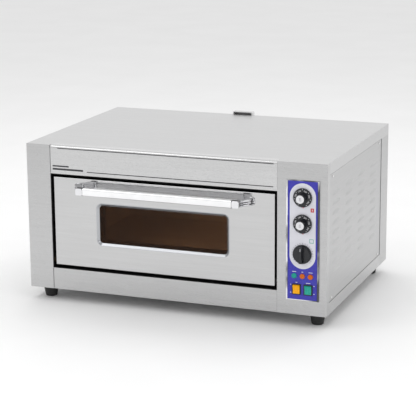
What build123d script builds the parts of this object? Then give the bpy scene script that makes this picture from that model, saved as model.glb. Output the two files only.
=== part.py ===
from build123d import *

import math
import os

os.makedirs("parts", exist_ok=True)

# Electric deck oven with one baking chamber, in millimetres.
# +X is to the right as seen from the front, the front faces -Y and +Z is up.
# The origin is on the table, under the middle of the oven's overall size.

# ---------------------------------------------------------------- driving dimensions

# Casing
cabinet_width = 920
cabinet_depth = 645
cabinet_height = 435
foot_height = 38
foot_top_radius = 24
foot_base_radius = 17
foot_inset_x = 41
foot_inset_front = 52
foot_inset_rear = 38
gauge = 1.2  # stainless sheet of the casing
left_post_width = 76
right_post_width = 145
post_side_return = 24  # how far the front posts wrap round the sides
post_inner_return = 34  # and how far they fold back beside the mouth
rear_post_depth = 78
rear_post_return = 30
tab_depth = 46  # joggled tab behind each end of a side panel
upper_fascia_height = 85
lower_fascia_height = 64
fascia_setback = 1.5
fascia_bend = 8
fascia_top_return = 27
fascia_flange = 14
seam = 0.3
top_flange = 33
base_flange = 35
panel_tuck = 10  # overlap of the side panels behind the top and base flanges

# Side louvres
louvre_length = 80
louvre_height = 10.5
louvre_rise = 3.0
louvre_sheet = 1.0
louvre_columns = 4
louvre_rows = 9
louvre_column_pitch = 130
louvre_row_pitch = 28
louvre_first_y = 91  # centre of the first column, from the front
louvre_first_z = 112  # lower edge of the first row, above the casing's underside

# Screws that hold the side and back panels
screw_head_radius = 3.6
screw_head_height = 2.0
screw_shank_radius = 1.9
screw_hole_radius = 2.0
side_screw_margin_y = 26
side_screw_margin_z = 9

# Mouth, door and hinge
door_gap_side = 8
door_gap_height = 10
door_thickness = 50
door_setback = 4
door_sheet = 1.2
door_bend = 2.5
gasket_thickness = 4.5
gasket_width = 10
gasket_margin = 7  # from the chamber's opening to the gasket
gasket_clearance = 0.5
hinge_offset_y = 15  # hinge axis behind the door's face
hinge_offset_z = 12  # and above its lower edge
pin_radius = 5
pin_in_door = 18
pin_in_post = 30
running_clearance = 0.05
bushing_radius = 8
bushing_length = 14
bushing_flange_radius = 10.5
bushing_flange = 2
spring_wire_radius = 1.0
spring_mean_radius = 8.2
spring_turns = 6
spring_pitch = 2.4

# Door window
window_width = 396
window_height = 112
window_radius = 10
bezel_width = 8
bezel_depth = 5
bezel_proud = 0.6
bezel_flange = 9
glass_thickness = 4
glass_margin = 14  # glass beyond the clear window on each side
spacer_margin = 6
spacer_wall = 1.5

# Handle
handle_length = 455  # bar between its two end castings
handle_height = 22
handle_offset = 5  # middle of the bar to the right of the door's middle
handle_depth = 14
handle_reach = 57  # front of the bar from the door's face
handle_above_door_foot = 240
handle_edge = 4
arm_width = 23
arm_splay = 28
arm_taper = 3
boss_radius = 12
boss_thickness = 4

# Baking chamber
chamber_width = 640
chamber_depth = 440
chamber_height = 230
chamber_floor = 84  # above the casing's underside
liner_sheet = 1.5
liner_flange = 14
deck_height = 112  # top of the deck plates above the casing's underside
deck_plate = 3
deck_clearance = 2
deck_ledge = 12
element_radius = 4
element_leg_pitch = 60
element_pitch = 140
element_count = 3
element_first_y = 70  # first leg behind the chamber's mouth
element_end_gap = 30
element_tail = 14
lower_element_height = 14  # above the chamber's floor
upper_element_drop = 20  # below the chamber's roof
element_clearance = 0.3

# Insulation round the chamber
insulation_top = 75
insulation_left = 70
insulation_back = 80

# Control compartment
divider_gap = 37  # from the chamber's right wall
divider_flange = 15
lamp_radius = 22
lamp_lens_radius = 26
lamp_lens_height = 8
lamp_tail = 24
lamp_y = 330  # behind the chamber's mouth
lamp_z = 96  # above the deck

# Control panel
panel_offset = 75  # centre of the panel from the right post's left edge
panel_width = 96.5
panel_height = 343
panel_foot = 43  # lower edge above the casing's underside
panel_plate = 1.5
panel_rim_side = 5.5
panel_rim_end = 2.0
panel_rim_rise = 3.5
panel_end_rise = 1.0
cutout_margin = 6
overlay_thickness = 0.6
dial_plate_width = 75.4
dial_plate_height = 244
dial_plate_foot = 134
dial_plate_thickness = 0.5
knob_radius = 27
knob_skirt = 4
knob_gap = 1.0
knob_height = 25
hub_radius = 12
hub_root_radius = 13.5
knob_notches = 36
notch_radius = 1.0
wing_width = 9
upper_knob_z = 338
lower_knob_z = 263.5
timer_knob_z = 177
shaft_radius = 3
shaft_hole_radius = 5
shaft_depth = 26
control_body = 40
control_body_depth = 34
timer_body_depth = 48
lamp_z_row = 113
pilot_pitch = 23.7
pilot_lens_radius = 7.5
pilot_lens_height = 5
pilot_body_radius = 5
pilot_body_depth = 24
rocker_pitch = 34
rocker_z = 74.5
rocker_bezel_width = 26
rocker_bezel_height = 31
rocker_bezel_depth = 1.6
rocker_well_width = 20
rocker_well_height = 26
rocker_housing_wall = 1.4
rocker_housing_depth = 28
rocker_clearance = 0.35
rocker_radius = 12.0
rocker_crest = 5.0
rocker_valley = 2.8
rocker_tilt = 7

# Rear services
vent_offset = 440  # centre of the steam vent from the casing's left side
vent_width = 66
vent_depth = 20
vent_rise = 9
vent_drop = 190
vent_wall = 1.2
vent_slot_width = 58
vent_slot_height = 6.0
vent_bend = 3
steam_pipe_radius = 15
steam_pipe_wall = 1.5
steam_pipe_z = 180  # above the deck
gland_inset = 60
gland_z = 62
gland_radius = 12
gland_bore = 6.5
gland_nut_width = 26
gland_nut = 6
gland_thread_radius = 9
cooling_slot_length = 46
cooling_slot_width = 5
terminal_length = 62
terminal_width = 24
terminal_height = 22
terminal_poles = 4
sensor_radius = 3
sensor_length = 150
capillary_radius = 1.2

# ---------------------------------------------------------------- derived places

front_reach = handle_reach - door_setback
overall_depth = front_reach + cabinet_depth + vent_depth
half_width = cabinet_width / 2
left = -half_width
right = half_width
front = -overall_depth / 2 + front_reach
back = front + cabinet_depth
floor = foot_height
top = floor + cabinet_height
side_back = back - rear_post_depth  # rear end of the side panels

mouth_left = left + left_post_width
mouth_right = right - right_post_width
mouth_low = floor + lower_fascia_height
mouth_high = top - upper_fascia_height

door_left = mouth_left + door_gap_side
door_right = mouth_right - door_gap_side
door_low = mouth_low + door_gap_height
door_high = mouth_high - door_gap_height
door_middle = (door_left + door_right) / 2
door_front = front + door_setback
door_back = door_front + door_thickness
window_z = (door_low + door_high) / 2
hinge_y = door_front + hinge_offset_y
hinge_z = door_low + hinge_offset_z

mouth_wall = door_back + gasket_clearance + gasket_thickness  # the face that the door shuts on
chamber_front = mouth_wall + gauge
chamber_back = chamber_front + chamber_depth
chamber_left = door_middle - chamber_width / 2
chamber_right = door_middle + chamber_width / 2
chamber_low = floor + chamber_floor
chamber_high = chamber_low + chamber_height
deck_top = floor + deck_height

divider_x = chamber_right + divider_gap
panel_x = mouth_right + panel_offset
panel_low = floor + panel_foot
panel_high = panel_low + panel_height
plate_front = front - panel_plate
overlay_front = plate_front - overlay_thickness
dial_front = overlay_front - dial_plate_thickness
upper_knob = floor + upper_knob_z
lower_knob = floor + lower_knob_z
timer_knob = floor + timer_knob_z
pilot_z = floor + lamp_z_row
rocker_row = floor + rocker_z
rocker_pivot = overlay_front + rocker_clearance

vent_x = left + vent_offset
steam_z = deck_top + steam_pipe_z
gland_x = right - gland_inset
gland_height = floor + gland_z
handle_z = door_low + handle_above_door_foot


# ---------------------------------------------------------------- helpers


def block(x, y, z, mode=Mode.ADD):
    """A rectangular block, given by its limits along X, Y and Z."""
    with Locations(((x[0] + x[1]) / 2, (y[0] + y[1]) / 2, (z[0] + z[1]) / 2)):
        Box(x[1] - x[0], y[1] - y[0], z[1] - z[0], mode=mode)


def bar(radius, start, end, mode=Mode.ADD):
    """A round bar between two points."""
    run = Vector(*end) - Vector(*start)
    with BuildSketch(Plane(origin=start, z_dir=run)) as section:
        Circle(radius)
    extrude(section.sketch, amount=run.length, mode=mode)


def facing_front(x, y, z):
    """A plane seen square-on from the front: its x runs along +X and its y along +Z."""
    return Plane(origin=(x, y, z), x_dir=(1, 0, 0), z_dir=(0, -1, 0))


def rounded_slab(centre_x, centre_z, width, height, radius, near, far, mode=Mode.ADD):
    """An upright slab with rounded corners between two depths, near being the front one."""
    with BuildSketch(facing_front(centre_x, near, centre_z)) as outline:
        RectangleRounded(width, height, radius)
    extrude(outline.sketch, amount=near - far, mode=mode)


def side_limits(side, outer, inner):
    """X limits of what lies between two distances in from a side face; side is -1 or +1."""
    return tuple(sorted((side * (half_width - outer), side * (half_width - inner))))


def save(piece, name):
    """Labels a finished piece and writes it as its own STEP file."""
    piece.part.label = name
    export_step(piece.part, f"parts/{name}.step")


def side_screws(side):
    """Centres of a side panel's four screws, on the panel's outer face."""
    x = side * (half_width - gauge)
    ys = (front + post_side_return + side_screw_margin_y, side_back - side_screw_margin_y)
    zs = (floor + base_flange + side_screw_margin_z, top - top_flange - side_screw_margin_z)
    return [(x, y, z) for y in ys for z in zs]


back_screw_rows = (floor + 60, floor + cabinet_height / 2, top - 60)
back_screws = [
    (side * (half_width - 2 * rear_post_return / 3), back, z)
    for side in (-1, 1)
    for z in back_screw_rows
]
feet_centres = [
    (side * (half_width - foot_inset_x), y)
    for side in (-1, 1)
    for y in (front + foot_inset_front, back - foot_inset_rear)
]
stud_radius = 4
stud_length = 9


# ---------------------------------------------------------------- casing


def front_post(side, inner_x):
    """A front post: a channel that shows its face, wraps the side and folds back at the mouth."""
    face_x = tuple(sorted((side * half_width, inner_x)))
    mouth_face_x = tuple(sorted((inner_x, inner_x + side * gauge)))
    tab_start = front + post_side_return
    with BuildPart() as post:
        block(face_x, (front, front + gauge), (floor, top))
        fold = post.edges().filter_by(Axis.Z).group_by(Axis.Y)[0].sort_by(Axis.X)
        fillet(fold[-1] if side > 0 else fold[0], gauge * 0.9)
        block(side_limits(side, 0, gauge), (front + gauge, tab_start), (floor, top - gauge))
        block(mouth_face_x, (front + gauge, front + post_inner_return), (floor + gauge, top - gauge))
        # the return is stepped in behind the side panel
        block(
            side_limits(side, 0, 3 * gauge),
            (tab_start - gauge, tab_start),
            (floor + gauge, top - gauge),
        )
        block(
            side_limits(side, 2 * gauge, 3 * gauge),
            (tab_start, tab_start + tab_depth),
            (floor + gauge, top - gauge),
        )
        for x, y, z in side_screws(side):
            if y < (front + back) / 2:
                bar(screw_hole_radius, (x, y, z), (x - side * 5 * gauge, y, z), Mode.SUBTRACT)
        bar(
            bushing_radius,
            (inner_x - side * gauge, hinge_y, hinge_z),
            (inner_x + side * 2 * gauge, hinge_y, hinge_z),
            Mode.SUBTRACT,
        )
    return post


left_upright = front_post(-1, mouth_left)
save(left_upright, "left_upright")

with BuildPart() as right_upright:
    add(front_post(1, mouth_right).part)
    block(
        (panel_x - panel_width / 2 + cutout_margin, panel_x + panel_width / 2 - cutout_margin),
        (front - gauge, front + 2 * gauge),
        (panel_low + cutout_margin, panel_high - cutout_margin),
        Mode.SUBTRACT,
    )
save(right_upright, "right_upright")


def rear_post(side):
    """A rear post: its side face, its return across the back and the tab behind the panel."""
    with BuildPart() as post:
        block(side_limits(side, 0, gauge), (side_back, back), (floor, top - top_flange))
        block(
            side_limits(side, gauge, 2 * gauge),
            (side_back + gauge, back),
            (floor + gauge, top - gauge),
        )
        block(
            side_limits(side, 2 * gauge, rear_post_return),
            (back - gauge, back),
            (floor + gauge, top - gauge),
        )
        block(
            side_limits(side, 0, 3 * gauge),
            (side_back, side_back + gauge),
            (floor + gauge, top - top_flange),
        )
        block(
            side_limits(side, 2 * gauge, 3 * gauge),
            (side_back - tab_depth, side_back + gauge),
            (floor + gauge, top - top_flange),
        )
        for x, y, z in side_screws(side):
            if y > (front + back) / 2:
                bar(screw_hole_radius, (x, y, z), (x - side * 5 * gauge, y, z), Mode.SUBTRACT)
        for x, y, z in back_screws:
            if x * side > 0:
                bar(screw_hole_radius, (x, y + gauge, z), (x, y - 2 * gauge, z), Mode.SUBTRACT)
    return post


with BuildPart() as rear_uprights:
    add(rear_post(-1).part)
    add(rear_post(1).part)
save(rear_uprights, "rear_uprights")

with BuildPart() as base_pan:
    block(
        (left + gauge, right - gauge),
        (front + 2 * gauge + fascia_setback, back - gauge),
        (floor, floor + gauge),
    )
    for side in (-1, 1):
        block(
            side_limits(side, 0, gauge),
            (front + post_side_return, side_back),
            (floor, floor + base_flange),
        )
    block(
        (mouth_left + seam, mouth_right - seam),
        (front + gauge + fascia_setback, front + 2 * gauge + fascia_setback),
        (floor, floor + base_flange),
    )
    for x, y in feet_centres:
        bar(stud_radius, (x, y, floor - gauge), (x, y, floor + 2 * gauge), Mode.SUBTRACT)
save(base_pan, "base_pan")

with BuildPart() as top_cover:
    block((left, right), (front + gauge, back), (top - gauge, top))
    for side in (-1, 1):
        block(side_limits(side, 0, gauge), (front + post_side_return, back), (top - top_flange, top))
    fillet(top_cover.edges().filter_by(Axis.Y).group_by(Axis.Z)[-1], gauge * 0.9)
    block(
        (mouth_left, mouth_right),
        (front, front + fascia_top_return),
        (top - 2 * gauge, top + gauge),
        Mode.SUBTRACT,
    )
save(top_cover, "top_cover")


def fascia_profile(low, high):
    """Section of a fascia in the YZ plane, drawn by its outside, with a rounded top fold."""
    face = front + fascia_setback
    with BuildSketch(Plane(origin=(mouth_left + seam, 0, 0), x_dir=(0, 1, 0), z_dir=(1, 0, 0))) as section:
        with BuildLine():
            Polyline(
                (face, low),
                (face, high),
                (front + fascia_top_return, high),
                (front + fascia_top_return, high - gauge),
                (face + gauge, high - gauge),
                (face + gauge, low + gauge),
                (face + fascia_flange, low + gauge),
                (face + fascia_flange, low),
                close=True,
            )
        make_face()
        fillet(section.vertices().group_by(Axis.Y)[-2].sort_by(Axis.X)[0], fascia_bend - gauge)
        fillet(section.vertices().group_by(Axis.Y)[-1].sort_by(Axis.X)[0], fascia_bend)
    return section.sketch


with BuildPart() as upper_fascia:
    extrude(fascia_profile(mouth_high, top), amount=mouth_right - mouth_left - 2 * seam)
save(upper_fascia, "upper_fascia")

with BuildPart() as lower_fascia:
    face_y = front + fascia_setback
    span = (mouth_left + seam, mouth_right - seam)
    block(span, (face_y, face_y + gauge), (floor, mouth_low))
    fillet(lower_fascia.edges().filter_by(Axis.X).group_by(Axis.Z)[-1].sort_by(Axis.Y)[0], gauge * 0.9)
    block(span, (face_y + gauge, face_y + fascia_flange), (mouth_low - gauge, mouth_low))
save(lower_fascia, "lower_fascia")


def louvre_barrel(radius_cut):
    """Half of a slim barrel lying along Y, whose crown stands proud of the panel."""
    half = louvre_length / 2
    # the barrel's axis lies behind the face, so that its ends run out to nothing
    axis_depth = (louvre_height**2 - louvre_rise**2) / (2 * louvre_rise)
    crown = axis_depth + louvre_rise - radius_cut
    end = axis_depth - radius_cut
    with BuildPart(mode=Mode.PRIVATE) as barrel:
        with BuildSketch(Plane.XY):
            with BuildLine():
                Line((0, -half), (end, -half))
                ThreePointArc((end, -half), (crown, 0), (end, half))
                Line((end, half), (0, half))
                Line((0, half), (0, -half))
            make_face()
        revolve(axis=Axis.Y, revolution_arc=90)
    return barrel.part, axis_depth


def side_panel(side):
    """A side panel with rows of pressed half-moon louvres, each open along its lower edge."""
    outer_face = half_width - gauge
    skin, axis_depth = louvre_barrel(0)
    void, _ = louvre_barrel(louvre_sheet)
    places = [
        (
            front + louvre_first_y + column * louvre_column_pitch,
            floor + louvre_first_z + row * louvre_row_pitch,
        )
        for column in range(louvre_columns)
        for row in range(louvre_rows)
    ]
    with BuildPart() as panel:
        block(
            (outer_face - gauge, outer_face),
            (front + post_side_return, side_back),
            (floor + base_flange - panel_tuck, top - top_flange + panel_tuck),
        )
        with Locations([(outer_face - axis_depth, y, z) for y, z in places]):
            add(skin.rotate(Axis.Y, -90))
        with Locations([(outer_face - axis_depth, y, z) for y, z in places]):
            add(void.rotate(Axis.Y, -90), mode=Mode.SUBTRACT)
        block(
            (outer_face - gauge - 2 * axis_depth, outer_face - gauge),
            (front, back),
            (floor, top),
            Mode.SUBTRACT,
        )
        for x, y, z in side_screws(1):
            bar(screw_hole_radius, (x + gauge, y, z), (x - 3 * gauge, y, z), Mode.SUBTRACT)
        if side < 0:
            mirror(about=Plane.YZ, mode=Mode.REPLACE)
    return panel


left_side_panel = side_panel(-1)
save(left_side_panel, "left_side_panel")
right_side_panel = side_panel(1)
save(right_side_panel, "right_side_panel")

with BuildPart() as back_panel:
    edge = half_width - rear_post_return / 2
    block((-edge, edge), (back - 2 * gauge, back - gauge), (floor + gauge, top - gauge))
    block((-edge, edge), (back - fascia_flange, back - 2 * gauge), (top - 2 * gauge, top - gauge))
    bar(steam_pipe_radius, (vent_x, back, steam_z), (vent_x, back - 4 * gauge, steam_z), Mode.SUBTRACT)
    bar(
        gland_thread_radius,
        (gland_x, back, gland_height),
        (gland_x, back - 4 * gauge, gland_height),
        Mode.SUBTRACT,
    )
    with BuildSketch(facing_front((divider_x + right) / 2, back - 4 * gauge, top - 90)):
        with GridLocations(0, 3 * cooling_slot_width, 1, 6):
            SlotOverall(cooling_slot_length, cooling_slot_width)
    extrude(amount=-4 * gauge, mode=Mode.SUBTRACT)
    for x, y, z in back_screws:
        bar(screw_hole_radius, (x, y, z), (x, y - 4 * gauge, z), Mode.SUBTRACT)
save(back_panel, "back_panel")

with BuildPart() as casing_screws:
    for side in (-1, 1):
        for x, y, z in side_screws(side):
            bar(screw_head_radius, (x, y, z), (x + side * screw_head_height, y, z))
            bar(screw_shank_radius, (x, y, z), (x - side * 4 * gauge, y, z))
    for x, y, z in back_screws:
        bar(screw_head_radius, (x, y, z), (x, y + screw_head_height, z))
        bar(screw_shank_radius, (x, y, z), (x, y - 4 * gauge, z))
    heads = casing_screws.faces().filter_by(GeomType.PLANE).filter_by(
        lambda face: abs(face.area - math.pi * screw_head_radius**2) < 1
    )
    fillet(heads.edges(), screw_head_height * 0.6)
save(casing_screws, "casing_screws")

with BuildPart() as feet:
    for x, y in feet_centres:
        with BuildSketch(Plane(origin=(x, y, 0))):
            Circle(foot_base_radius)
        with BuildSketch(Plane(origin=(x, y, foot_height))):
            Circle(foot_top_radius)
        loft()
        bar(stud_radius, (x, y, foot_height), (x, y, foot_height + stud_length))
    soles = feet.edges().filter_by(GeomType.CIRCLE).group_by(Axis.Z)[0]
    fillet(soles, 3)
save(feet, "feet")

# ---------------------------------------------------------------- mouth and chamber

with BuildPart() as mouth_frame:
    outer_x = (mouth_left, mouth_right)
    outer_z = (mouth_low, mouth_high)
    start = front + fascia_setback + gauge
    block(outer_x, (start, chamber_front), outer_z)
    block(
        (mouth_left + gauge, mouth_right - gauge),
        (front, mouth_wall),
        (mouth_low + gauge, mouth_high - gauge),
        Mode.SUBTRACT,
    )
    block((chamber_left, chamber_right), (front, chamber_back), (deck_top, chamber_high), Mode.SUBTRACT)
    bar(
        bushing_radius,
        (mouth_left - gauge, hinge_y, hinge_z),
        (mouth_right + gauge, hinge_y, hinge_z),
        Mode.SUBTRACT,
    )
save(mouth_frame, "mouth_frame")

with BuildPart() as mouth_gasket:
    inner_width = chamber_width + 2 * gasket_margin
    inner_height = chamber_high - deck_top + 2 * gasket_margin
    gasket_z = (chamber_high + deck_top) / 2
    near = mouth_wall - gasket_thickness
    rounded_slab(
        door_middle,
        gasket_z,
        inner_width + 2 * gasket_width,
        inner_height + 2 * gasket_width,
        gasket_width + gasket_margin,
        near,
        mouth_wall,
    )
    rounded_slab(
        door_middle, gasket_z, inner_width, inner_height, gasket_margin, near, mouth_wall, Mode.SUBTRACT
    )
    front_edges = mouth_gasket.edges().group_by(Axis.Y)[0]
    fillet(front_edges, gasket_thickness * 0.6)
save(mouth_gasket, "mouth_gasket")

element_ys = [chamber_front + element_first_y + i * element_pitch for i in range(element_count)]
lower_element_z = chamber_low + lower_element_height
upper_element_z = chamber_high - upper_element_drop
leg_places = [
    (y + leg * element_leg_pitch, z)
    for y in element_ys
    for leg in (0, 1)
    for z in (lower_element_z, upper_element_z)
]
lamp_centre = (chamber_front + lamp_y, deck_top + lamp_z)
sensor_y = chamber_front + element_first_y + element_leg_pitch / 2
sensor_zs = (lower_element_z, upper_element_z)  # between the legs of the first hairpins


def right_wall_holes(start, end):
    """Cuts what passes through the chamber's right wall: elements, lamp and sensors."""
    for y, z in leg_places:
        bar(element_radius + element_clearance, (start, y, z), (end, y, z), Mode.SUBTRACT)
    bar(lamp_radius, (start, *lamp_centre), (end, *lamp_centre), Mode.SUBTRACT)
    for z in sensor_zs:
        bar(sensor_radius + element_clearance, (start, sensor_y, z), (end, sensor_y, z), Mode.SUBTRACT)


with BuildPart() as chamber_liner:
    block(
        (chamber_left - liner_sheet, chamber_right + liner_sheet),
        (chamber_front, chamber_back + liner_sheet),
        (chamber_low - liner_sheet, chamber_high + liner_sheet),
    )
    block(
        (chamber_left - liner_flange, chamber_right + liner_flange),
        (chamber_front, chamber_front + liner_sheet),
        (chamber_low - liner_flange, chamber_high + liner_flange),
    )
    block(
        (chamber_left, chamber_right),
        (chamber_front, chamber_back),
        (chamber_low, chamber_high),
        Mode.SUBTRACT,
    )
    # ledges that carry the deck plates
    for x0, x1 in (
        (chamber_left, chamber_left + deck_ledge),
        (chamber_right - deck_ledge, chamber_right),
    ):
        block(
            (x0, x1),
            (chamber_front, chamber_back),
            (deck_top - deck_plate - liner_sheet, deck_top - deck_plate),
        )
    right_wall_holes(chamber_right - liner_sheet, chamber_right + 2 * liner_sheet)
    bar(
        steam_pipe_radius,
        (vent_x, chamber_back - liner_sheet, steam_z),
        (vent_x, chamber_back + 2 * liner_sheet, steam_z),
        Mode.SUBTRACT,
    )
save(chamber_liner, "chamber_liner")

with BuildPart() as deck_plates:
    plate_length = (chamber_depth - 3 * deck_clearance) / 2
    for i in range(2):
        y0 = chamber_front + deck_clearance + i * (plate_length + deck_clearance)
        block(
            (chamber_left + deck_clearance, chamber_right - deck_clearance),
            (y0, y0 + plate_length),
            (deck_top - deck_plate, deck_top),
        )
    fillet(deck_plates.edges().filter_by(Axis.Z), 4)
save(deck_plates, "deck_plates")


def heating_elements(z):
    """Hairpin elements that enter through the right wall, with thinner terminals behind it."""
    leg_start = divider_x + 4 * gauge
    turn = element_leg_pitch / 2
    leg_end = chamber_left + element_end_gap + turn
    with BuildPart() as elements:
        for y in element_ys:
            with BuildLine() as path:
                Line((leg_start, y, z), (leg_end, y, z))
                ThreePointArc(
                    (leg_end, y, z), (leg_end - turn, y + turn, z), (leg_end, y + element_leg_pitch, z)
                )
                Line((leg_end, y + element_leg_pitch, z), (leg_start, y + element_leg_pitch, z))
            with BuildSketch(Plane(origin=(leg_start, y, z), z_dir=(-1, 0, 0))) as section:
                Circle(element_radius)
            sweep(section.sketch, path=path.line)
            for leg in (0, 1):
                leg_y = y + leg * element_leg_pitch
                bar(element_radius / 2, (leg_start, leg_y, z), (leg_start + element_tail, leg_y, z))
    return elements


upper_heating_elements = heating_elements(upper_element_z)
save(upper_heating_elements, "upper_heating_elements")
lower_heating_elements = heating_elements(lower_element_z)
save(lower_heating_elements, "lower_heating_elements")

# ---------------------------------------------------------------- insulation

shell_left = chamber_left - liner_sheet
shell_right = chamber_right + liner_sheet
shell_low = chamber_low - liner_sheet
shell_high = chamber_high + liner_sheet
shell_back = chamber_back + liner_sheet
wool_front = chamber_front + liner_sheet
wool_left = shell_left - insulation_left
wool_back = shell_back + insulation_back

with BuildPart() as insulation_bottom_slab:
    block((wool_left, divider_x), (wool_front, wool_back), (floor + gauge, shell_low))
save(insulation_bottom_slab, "insulation_bottom")

with BuildPart() as insulation_top_slab:
    block((wool_left, divider_x), (wool_front, wool_back), (shell_high, shell_high + insulation_top))
save(insulation_top_slab, "insulation_top")

with BuildPart() as insulation_left_slab:
    block((wool_left, shell_left), (wool_front, wool_back), (shell_low, shell_high))
save(insulation_left_slab, "insulation_left")

with BuildPart() as insulation_right_slab:
    block((shell_right, divider_x), (wool_front, wool_back), (shell_low, shell_high))
    right_wall_holes(shell_right - gauge, divider_x + gauge)
save(insulation_right_slab, "insulation_right")

with BuildPart() as insulation_back_slab:
    block((shell_left, shell_right), (shell_back, wool_back), (shell_low, shell_high))
    bar(
        steam_pipe_radius,
        (vent_x, shell_back - gauge, steam_z),
        (vent_x, wool_back + gauge, steam_z),
        Mode.SUBTRACT,
    )
save(insulation_back_slab, "insulation_back")

with BuildPart() as compartment_divider:
    block(
        (divider_x, divider_x + gauge),
        (wool_front, back - 2 * gauge),
        (floor + gauge, top - 2 * gauge),
    )
    block(
        (divider_x + gauge, divider_x + divider_flange),
        (wool_front, back - 2 * gauge),
        (floor + gauge, floor + 2 * gauge),
    )
    right_wall_holes(divider_x - gauge, divider_x + 2 * gauge)
save(compartment_divider, "compartment_divider")

# ---------------------------------------------------------------- chamber lamp and steam outlet

with BuildPart() as lamp_holder:
    bar(lamp_radius, (chamber_right, *lamp_centre), (divider_x + lamp_tail, *lamp_centre))
    bar(
        lamp_radius - 3,
        (chamber_right, *lamp_centre),
        (divider_x - gauge, *lamp_centre),
        Mode.SUBTRACT,
    )
save(lamp_holder, "lamp_holder")

with BuildPart() as lamp_glass:
    bar(lamp_lens_radius, (chamber_right, *lamp_centre), (chamber_right - lamp_lens_height, *lamp_centre))
    rim = lamp_glass.edges().filter_by(GeomType.CIRCLE).group_by(Axis.X)[0]
    fillet(rim, lamp_lens_height * 0.7)
save(lamp_glass, "lamp_glass")

with BuildPart() as steam_pipe:
    bar(steam_pipe_radius, (vent_x, chamber_back, steam_z), (vent_x, back - gauge, steam_z))
    bar(
        steam_pipe_radius - steam_pipe_wall,
        (vent_x, chamber_back, steam_z),
        (vent_x, back - gauge, steam_z),
        Mode.SUBTRACT,
    )
save(steam_pipe, "steam_pipe")

with BuildPart() as steam_duct:
    vent_top = top + vent_rise
    half_vent = vent_width / 2
    block(
        (vent_x - half_vent, vent_x + half_vent),
        (back - gauge, back + vent_depth),
        (top - vent_drop, vent_top),
    )
    block(
        (vent_x - half_vent - vent_wall, vent_x + half_vent + vent_wall),
        (back - 2 * gauge, back),
        (top - vent_drop - vent_wall, top + vent_wall),
        Mode.SUBTRACT,
    )
    fillet(steam_duct.edges().group_by(Axis.Z)[-1].filter_by(Axis.Y), vent_bend)
    block(
        (vent_x - half_vent + vent_wall, vent_x + half_vent - vent_wall),
        (back, back + vent_depth - vent_wall),
        (top - vent_drop + vent_wall, vent_top - vent_wall),
        Mode.SUBTRACT,
    )
    block(
        (vent_x - vent_slot_width / 2, vent_x + vent_slot_width / 2),
        (back - 2 * gauge, back + vent_wall),
        (top + vent_wall, top + vent_wall + vent_slot_height),
        Mode.SUBTRACT,
    )
save(steam_duct, "steam_duct")

# ---------------------------------------------------------------- door

with BuildPart() as door_skin:
    skin_back = door_back - door_sheet
    block((door_left, door_right), (door_front, skin_back), (door_low, door_high))
    fillet(door_skin.edges().group_by(Axis.Y)[0], door_bend)
    block(
        (door_left + door_sheet, door_right - door_sheet),
        (door_front + door_sheet, skin_back),
        (door_low + door_sheet, door_high - door_sheet),
        Mode.SUBTRACT,
    )
    rounded_slab(
        door_middle,
        window_z,
        window_width + 2 * bezel_width,
        window_height + 2 * bezel_width,
        window_radius + bezel_width,
        door_front,
        door_front + 2 * door_sheet,
        Mode.SUBTRACT,
    )
    bar(pin_radius, (door_left - 1, hinge_y, hinge_z), (door_right + 1, hinge_y, hinge_z), Mode.SUBTRACT)
save(door_skin, "door_skin")

with BuildPart() as door_liner:
    block((door_left, door_right), (skin_back, door_back), (door_low, door_high))
    pan = (door_left + door_sheet, door_right - door_sheet)
    pan_z = (door_low + door_sheet, door_high - door_sheet)
    flange_front = door_front + hinge_offset_y + pin_radius + 4
    block(pan, (flange_front, skin_back), pan_z)
    block(
        (pan[0] + door_sheet, pan[1] - door_sheet),
        (flange_front, skin_back),
        (pan_z[0] + door_sheet, pan_z[1] - door_sheet),
        Mode.SUBTRACT,
    )
    rounded_slab(
        door_middle,
        window_z,
        window_width,
        window_height,
        window_radius,
        skin_back,
        door_back,
        Mode.SUBTRACT,
    )
save(door_liner, "door_liner")

bezel_back = door_front + bezel_depth
inner_glass_front = skin_back - glass_thickness
glass_width = window_width + 2 * glass_margin
glass_height = window_height + 2 * glass_margin

with BuildPart() as window_bezel:
    bezel_front = door_front - bezel_proud
    outer = (window_width + 2 * bezel_width, window_height + 2 * bezel_width)
    rounded_slab(door_middle, window_z, *outer, window_radius + bezel_width, bezel_front, bezel_back)
    rounded_slab(
        door_middle,
        window_z,
        outer[0] + 2 * bezel_flange,
        outer[1] + 2 * bezel_flange,
        window_radius + bezel_width,
        door_front + door_sheet,
        door_front + 2 * door_sheet,
    )
    # the sight edge slopes from the door's face down to the glass
    with BuildSketch(facing_front(door_middle, bezel_front, window_z)):
        RectangleRounded(outer[0] - 3, outer[1] - 3, window_radius + bezel_width - 1.5)
    with BuildSketch(facing_front(door_middle, bezel_back, window_z)):
        RectangleRounded(window_width, window_height, window_radius)
    loft(mode=Mode.SUBTRACT)
save(window_bezel, "window_bezel")


def door_glass(near):
    """A pane of the door's window."""
    with BuildPart() as pane:
        rounded_slab(door_middle, window_z, glass_width, glass_height, 3, near, near + glass_thickness)
    return pane


door_glass_outer = door_glass(bezel_back)
save(door_glass_outer, "door_glass_outer")
door_glass_inner = door_glass(inner_glass_front)
save(door_glass_inner, "door_glass_inner")

with BuildPart() as window_spacer:
    spacer_ends = (bezel_back + glass_thickness, inner_glass_front)
    clear = (window_width + 2 * spacer_margin, window_height + 2 * spacer_margin)
    rounded_slab(
        door_middle, window_z, clear[0] + 2 * spacer_wall, clear[1] + 2 * spacer_wall, 8, *spacer_ends
    )
    rounded_slab(door_middle, window_z, *clear, 8 - spacer_wall, *spacer_ends, Mode.SUBTRACT)
save(window_spacer, "window_spacer")

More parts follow.
